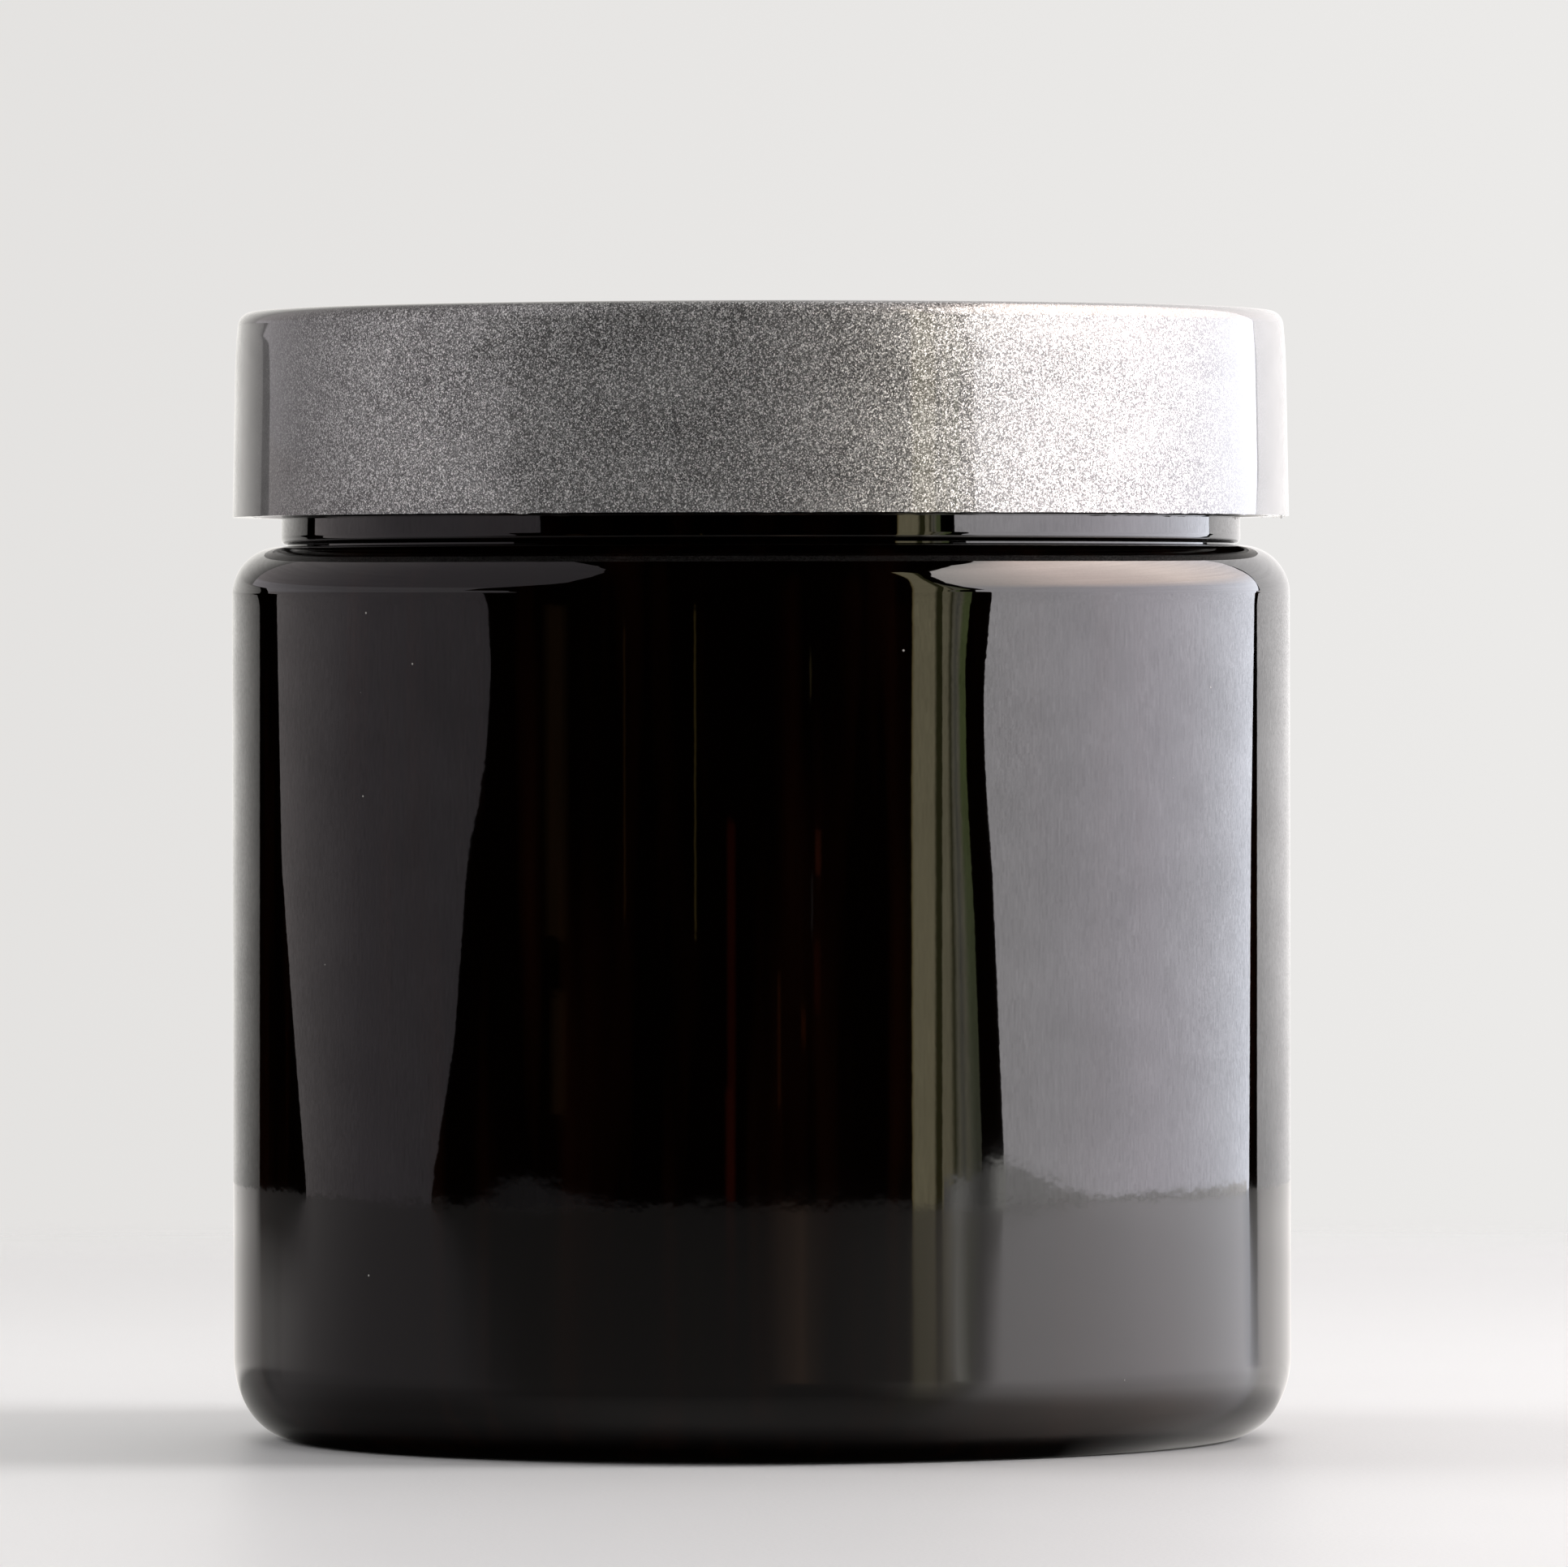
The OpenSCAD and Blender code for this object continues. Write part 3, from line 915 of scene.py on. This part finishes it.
def make_cards():
    """The photograph's studio as the gloss shows it: a grey sheet on the left, a bright window over a
    lit panel on the right, a pale backdrop behind, dull olive cloths, and black in between."""
    dark = [(0, 0, 0)] * 2
    card("black_tent", upright(-TENT_END), upright(TENT_END), CARD_FOOT, TENT_TOP, dark, radius=TENT_R)
    make_left_sheet()
    make_right_window()
    make_cloths()
    make_backdrop_cards()
    make_streaks()
    make_table_edges()


def make_left_sheet():
    """The grey sheet on the left, a little brighter in the band that the lid mirrors."""
    left_back = edge(LEFT_BACK, LEFT_BACK_ABOVE)
    left_front = edge(LEFT_FRONT, LEFT_FRONT_ABOVE)
    left_glow = [(0.56, 0.51, 0.51), (0.38, 0.34, 0.365), (0.37, 0.335, 0.36)]
    band_glow = [(0.7, 0.66, 0.69), (0.56, 0.52, 0.55), (0.56, 0.52, 0.55)]
    sheet_glow = [(0.48, 0.46, 0.45), (0.39, 0.35, 0.37), (0.39, 0.36, 0.38)]
    band_foot, band_top = SHEET_BAND
    card("left_sheet_low", left_back, left_front, CARD_FOOT, band_foot, left_glow)
    card("left_sheet_middle", left_back, left_front, band_foot, band_top, band_glow)
    card("left_sheet", left_back, left_front, band_top, SHEET_TOP, left_glow, sheet_glow)


def dimmed(glow, share):
    return [tuple(share * c for c in colour) for colour in glow]


def make_right_window():
    """The lit panel, and the window above it that starts at its sill and fades towards its top."""
    near = edge(RIGHT_NEAR, RIGHT_NEAR_ABOVE)
    far = edge(RIGHT_FAR, RIGHT_FAR_ABOVE)
    panel = [(3.85, 3.7, 3.8), (4.5, 4.3, 4.65), (4.1, 4.2, 4.6)]
    window = [(5.0, 4.7, 4.5), (9.1, 7.6, 7.0), (8.8, 7.5, 6.9), (3.7, 3.5, 3.6)]
    foot = dimmed(window, 0.85)
    head = dimmed(window, 0.7)
    card("right_panel", near, far, CARD_FOOT, SILL, panel)
    card("window_sill", near + list(WINDOW_NEAR), far, SILL, SILL_TOP, panel, foot)
    card("right_window", WINDOW_NEAR, far, SILL_TOP, WINDOW_FADE, foot, window)
    card("right_window_head", WINDOW_NEAR, far, WINDOW_FADE, WINDOW_TOP, window, head)


def make_cloths():
    """A beige cloth and, beyond its fold, a grey one that is greenest at MOSS_AT."""
    near = edge(CLOTHS_NEAR, CLOTHS_NEAR_ABOVE)
    fold = edge(CLOTH_FOLD, CLOTH_FOLD_ABOVE)
    far = edge(CLOTHS_FAR, CLOTHS_FAR_ABOVE)
    gold = (0.9, 0.68, 0.25)
    beige = (1.6, 1.42, 0.9)
    gap = (0.2, 0.2, 0.08)
    pale = (1.35, 1.22, 0.8)
    grey = (1.05, 0.98, 0.72)
    dull = (0.7, 0.68, 0.55)
    moss = (0.62, 0.76, 0.3)
    dim = (0.42, 0.4, 0.34)
    folds = [pale] * 3 + [gap, grey, dull, grey]
    low_folds = folds + [dull, dim, dim]
    high_folds = folds + [moss] * 3
    card("beige_cloth", near, fold, CARD_FOOT, BEIGE_TOP, [gold] + [beige] * 8 + [gap] * 3)
    card("grey_cloth", fold, far, CARD_FOOT, MOSS_AT, low_folds, high_folds)
    card("grey_cloth_above", fold, far, MOSS_AT, GREY_TOP, high_folds, low_folds)


def make_backdrop_cards():
    """The pale backdrop behind the jar, left and right, a little darker near the table."""
    left_back = upright(-SKY_END)
    left_edge = edge(LEFT_SKY_EDGE, LEFT_SKY_ABOVE)
    left_low = [(0.88, 0.85, 0.82), (0.82, 0.8, 0.77), (0.52, 0.51, 0.49), (0.22, 0.21, 0.2)]
    left_sky = [(1.02, 0.99, 0.95), (1.0, 0.98, 0.94), (0.75, 0.73, 0.7), (0.3, 0.29, 0.28)]
    card("left_backdrop_low", left_back, left_edge, CARD_FOOT, LOW_SKY, left_low, left_sky)
    card("left_backdrop", left_back, left_edge, LOW_SKY, SKY_TOP, left_sky)
    right_back = upright(SKY_END)
    right_edge = edge(RIGHT_SKY_EDGE, RIGHT_SKY_ABOVE)
    right_low = [(1.25, 1.22, 1.23), (1.15, 1.12, 1.12), (1.1, 1.07, 1.05)]
    right_sky = [(1.75, 1.71, 1.72), (1.45, 1.41, 1.41), (1.1, 1.07, 1.05)]
    card("right_backdrop_low", right_edge, right_back, CARD_FOOT, LOW_SKY, right_low, right_sky)
    card("right_backdrop", right_edge, right_back, LOW_SKY, SKY_TOP, right_sky)


def make_streaks():
    for number, (left, right, top, foot, glow) in enumerate(STREAKS, start=1):
        low, from_az = mirrored(left, foot)
        high, to_az = mirrored(right, top)
        faded = [(0, 0, 0), glow, glow, (0, 0, 0)]
        card(f"streak_{number}", upright(from_az), upright(to_az), low, high, faded, radius=STREAK_R)


def make_table_edges():
    """The table's far edge in front of the cards' feet: it fades upward only in the dark front."""
    front_glow = [(0.07, 0.067, 0.07), (0.12, 0.115, 0.12), (0.1, 0.095, 0.1)]
    cloth_glow = [(g, 0.98 * g, 0.93 * g) for g in CLOTH_FOOT_GLOW]
    panel_glow = [(g, 0.97 * g, 0.96 * g) for g in PANEL_FOOT_GLOW]
    low_strip("front_table_edge", FRONT_TABLE_EDGE, front_glow, [(0, 0, 0)] * 3)
    low_strip("cloth_table_edge", CLOTH_TABLE_EDGE, cloth_glow)
    low_strip("right_table_edge", RIGHT_TABLE_EDGE, panel_glow)


def low_strip(name, tops, glow, top_glow=None):
    """A strip in front of the cards' feet, whose uneven top shows at these pixels of the jar's wall.
    Over its last STRIP_FADE degrees its glow turns into top_glow."""
    rises, azimuths = zip(*[mirrored(x, y) for x, y in tops])
    around = np.linspace(azimuths[0], azimuths[-1], STRIP_COLUMNS)
    top = np.interp(around, azimuths, rises)
    rise = np.radians([np.full(STRIP_COLUMNS, CARD_FOOT), top - STRIP_FADE, top])
    azimuth = np.radians(np.tile(around, (3, 1)))
    share = np.linspace(0, 1, STRIP_COLUMNS)
    rows_glow = [spread_glow(levels, share) for levels in (glow, glow, top_glow or glow)]
    return glowing_sheet(name, on_shell(rise, azimuth, STREAK_R), np.array(rows_glow))


def disc_mesh(name, radius, columns=96):
    turn = [2 * math.pi * i / columns for i in range(columns)]
    mesh = bpy.data.meshes.new(name)
    mesh.from_pydata([(radius * math.cos(t), radius * math.sin(t), 0) for t in turn], [], [range(columns)])
    return mesh


def seen_turn(finish, toward, distance):
    """Where round the wall each point of the table shows, as in TABLE_TONE. The wall stands out from the
    axis, so near points show further round."""
    around = finish.math("ARCTAN2", toward["X"], finish.math("MULTIPLY", toward["Y"], -1))
    half = finish.math("SINE", finish.math("MULTIPLY", around, 0.5))
    swing = finish.math("DIVIDE", finish.math("MULTIPLY", half, BODY_R * MM), distance)
    return finish.math("MULTIPLY_ADD", finish.math("ADD", around, swing), 0.5 / math.pi, 0.5)


def table_paint(finish, turn, span, toward):
    """How pale the table is, with light and shade painted on: as TABLE_TONE says far off, and near the jar
    painted dark in front and painted paler on the right and behind, with painted shade just outside the
    heel and a little painted light close round the foot."""
    hidden = finish.math("MULTIPLY", finish.ramp(turn, TABLE_GAP), span(230, 420, 0, 0.8, smooth=False))
    far_paint = finish.math("MULTIPLY", finish.ramp(turn, TABLE_TONE), finish.math("SUBTRACT", 1, hidden))
    right = finish.remap(toward["X"], 0.2, 0.8, 0.14, 0.9, smooth=True)
    # Painted shade near the jar's foot, darkest just outside the heel
    heel = finish.math("MAXIMUM", span(33, 38, 0.65, 0.27, smooth=False), span(39, 52, 0.27, 1))
    behind = finish.remap(toward["Y"], 0.5, 0.8, 0.1, 0.95, smooth=True)
    near_paint = finish.math("MAXIMUM", finish.math("MULTIPLY", right, heel), behind)
    farther = finish.math("SUBTRACT", far_paint, near_paint)
    paint = finish.math("MULTIPLY_ADD", farther, span(*TABLE_NEAR, 0, 1), near_paint)
    # A little painted light close round the foot, where the table is otherwise darkest
    return finish.math("MAXIMUM", paint, span(38, 60, 0.24, 0.1))


def table_light(finish, span, toward):
    """How much light reaches the table: little under the heel, and less near the jar on the left."""
    open_right = finish.remap(toward["X"], 0.6, 0.85, 0, 1)
    open_back = finish.remap(toward["Y"], 0.2, 0.7, 0, 1)
    light = finish.math("MAXIMUM", span(34, 39, 0.02, 1), finish.math("MAXIMUM", open_right, open_back))
    left = finish.remap(toward["X"], -0.85, -0.3, 0.65, 0)
    left_near = finish.math("MULTIPLY", left, span(40, 60, 1, 0, smooth=False))
    shaded = finish.math("MULTIPLY", left_near, finish.math("SUBTRACT", 1, open_back))
    return finish.math("MULTIPLY", light, finish.math("SUBTRACT", 1, shaded))


def make_table():
    """The satin table that the jar's foot mirrors, with light, shade and reflections painted on and a
    painted glow. Only the gloss sees it.
    """
    finish = Finish("mirrored_table")
    place = finish.position()
    toward = finish.node("ShaderNodeSeparateXYZ", Vector=finish.vector("NORMALIZE", place)).outputs
    distance = finish.length(place)

    def span(near, far, at_near, at_far, smooth=True):
        """A level that changes between two distances from the jar's axis, in millimetres."""
        return finish.remap(distance, near * MM, far * MM, at_near, at_far, smooth)

    turn = seen_turn(finish, toward, distance)
    paint = table_paint(finish, turn, span, toward)
    # The table's paint times its painted light and shade
    level = finish.math("MULTIPLY", paint, table_light(finish, span, toward))
    far_off = span(*TABLE_NEAR, 0, 1)
    shine = finish.math("MULTIPLY", finish.ramp(turn, TABLE_SHINE), far_off)
    # painted brown reflection, glowing on the far table
    brown_shine = finish.math("MULTIPLY", finish.ramp(turn, TABLE_BROWN_SHINE), far_off)
    pale_glow = finish.scaled(TABLE_PALE, finish.math("MULTIPLY_ADD", level, TABLE_GLOW, shine))
    finish.set(
        Base_Color=finish.scaled(TABLE_WARM, level),
        Roughness=0.3,
        IOR=1.5,
        Emission_Color=finish.vector("ADD", pale_glow, finish.scaled(TABLE_BROWN, brown_shine)),
        Emission_Strength=1.0,
    )
    mesh = disc_mesh("mirrored_table", TABLE_R * MM)
    mesh.materials.append(finish.material)
    table = only_mirrored(add_object("mirrored_table", mesh))
    table.location.z = -TABLE_SINK * MM


# ---------------------------------------------------------------- studio: floor, backdrop and lamps

FLOOR_CENTRE = Vector((0, -120, 0))
# How far from its centre the floor takes on its far tone, and where it fades into the backdrop
FLOOR_FAR_START = 200
FLOOR_FADE_START = 390
FLOOR_FADE_END = 505
FLOOR_R = 520
FLOOR_SINK = 0.02
FLOOR_DULL = (0.695, 0.685, 0.688, 1)
FLOOR_CLEAN = (0.725, 0.715, 0.718, 1)
FLOOR_FAR = (0.635, 0.625, 0.628, 1)
BACKDROP_LEFT = (0.775, 0.762, 0.748, 1)
BACKDROP_RIGHT = (0.835, 0.825, 0.812, 1)
# The backdrop turns from its left tone to its right one over this much of the view to each side
BACKDROP_SPREAD = 0.06
AMBIENT = (0.2, 0.2, 0.2, 1)


def make_floor():
    """A pale satin floor that fades into the backdrop well behind the jar."""
    finish = Finish("pale_floor")
    place = finish.position()
    mottle = finish.noise(place, scale=25, detail=4)
    grain = finish.noise(place, scale=2500, detail=2)
    distance = finish.length(finish.vector("SUBTRACT", place, FLOOR_CENTRE * MM))
    pale = finish.mix(mottle, FLOOR_DULL, FLOOR_CLEAN)
    far_off = finish.remap(distance, FLOOR_FAR_START * MM, FLOOR_FADE_START * MM, 0, 1, smooth=True)
    fade = (FLOOR_FADE_START * MM, FLOOR_FADE_END * MM)
    finish.set(
        Base_Color=finish.mix(far_off, pale, FLOOR_FAR),
        Roughness=0.42,
        IOR=1.25,
        Normal=finish.bump(grain, distance=2e-5),
        Alpha=finish.remap(distance, *fade, 1, 0, smooth=True),
    )
    mesh = disc_mesh("floor", (FLOOR_R + FLOOR_CENTRE.length) * MM)
    mesh.materials.append(finish.material)
    floor = add_object("floor", mesh)
    floor.location.z = -FLOOR_SINK * MM
    floor.visible_glossy = False
    floor.visible_shadow = False


def make_world():
    """Backdrop for what is seen straight or in gloss and glass, and plain soft light for the rest."""
    world = bpy.data.worlds.new("studio")
    world.use_nodes = True
    bpy.context.scene.world = world
    tree = world.node_tree
    tree.nodes.clear()
    new = tree.nodes.new
    link = tree.links.new
    out = new("ShaderNodeOutputWorld")
    ways = new("ShaderNodeLightPath")
    direction = new("ShaderNodeTexCoord").outputs["Generated"]
    across = new("ShaderNodeSeparateXYZ")
    link(direction, across.inputs[0])
    slide = new("ShaderNodeMapRange")
    slide.inputs["From Min"].default_value = -BACKDROP_SPREAD
    slide.inputs["From Max"].default_value = BACKDROP_SPREAD
    link(across.outputs["X"], slide.inputs["Value"])
    backdrop = new("ShaderNodeMix")
    backdrop.data_type = "RGBA"
    link(slide.outputs["Result"], backdrop.inputs["Factor"])
    backdrop.inputs[6].default_value = BACKDROP_LEFT
    backdrop.inputs[7].default_value = BACKDROP_RIGHT
    seen = new("ShaderNodeBackground")
    link(backdrop.outputs[2], seen.inputs["Color"])
    ambient = new("ShaderNodeBackground")
    ambient.inputs["Color"].default_value = AMBIENT
    either = new("ShaderNodeMath")
    either.operation = "MAXIMUM"
    link(ways.outputs["Is Camera Ray"], either.inputs[0])
    link(ways.outputs["Is Glossy Ray"], either.inputs[1])
    any_way = new("ShaderNodeMath")
    any_way.operation = "MAXIMUM"
    link(either.outputs[0], any_way.inputs[0])
    link(ways.outputs["Is Transmission Ray"], any_way.inputs[1])
    choose = new("ShaderNodeMixShader")
    link(any_way.outputs[0], choose.inputs["Fac"])
    link(ambient.outputs[0], choose.inputs[1])
    link(seen.outputs[0], choose.inputs[2])
    link(choose.outputs[0], out.inputs["Surface"])


def lamp(name, azimuth, elevation, distance, size, level, tint=(1, 1, 1)):
    """A square soft lamp aimed at the jar. level is what a white face square to it would show."""
    data = bpy.data.lights.new(name, "AREA")
    data.size = size * MM
    data.energy = level * (math.pi * distance * MM) ** 2
    data.color = tint
    thing = bpy.data.objects.new(name, data)
    bpy.context.scene.collection.objects.link(thing)
    a, e = math.radians(azimuth), math.radians(elevation)
    away = Vector((math.sin(a) * math.cos(e), -math.cos(a) * math.cos(e), math.sin(e)))
    thing.location = (Vector((0, 0, LID_Z / 2)) + away * distance) * MM
    thing.rotation_mode = "QUATERNION"
    thing.rotation_quaternion = away.to_track_quat("Z", "Y")
    thing.visible_camera = False
    thing.visible_glossy = False


def make_lamps():
    lamp("window_right", 88, 22, 1100, 420, 0.95)
    lamp("overhead", 180, 80, 1300, 1100, 0.27)
    lamp("behind", 178, 42, 1200, 700, 0.12)
    lamp("fill_front", -10, 25, 1200, 800, 0.13)
    lamp("fill_left", -100, 25, 1200, 700, 0.5)


# ---------------------------------------------------------------- everything together

make_jar(black_gloss())
make_lid(silver_flake())
dress_cad_node("lid_liner", white_foam())
dress_cad_node("sealing_disc", milky_plastic())
make_cards()
make_table()
make_floor()
make_world()
make_lamps()
bpy.context.scene.view_settings.view_transform = "Standard"
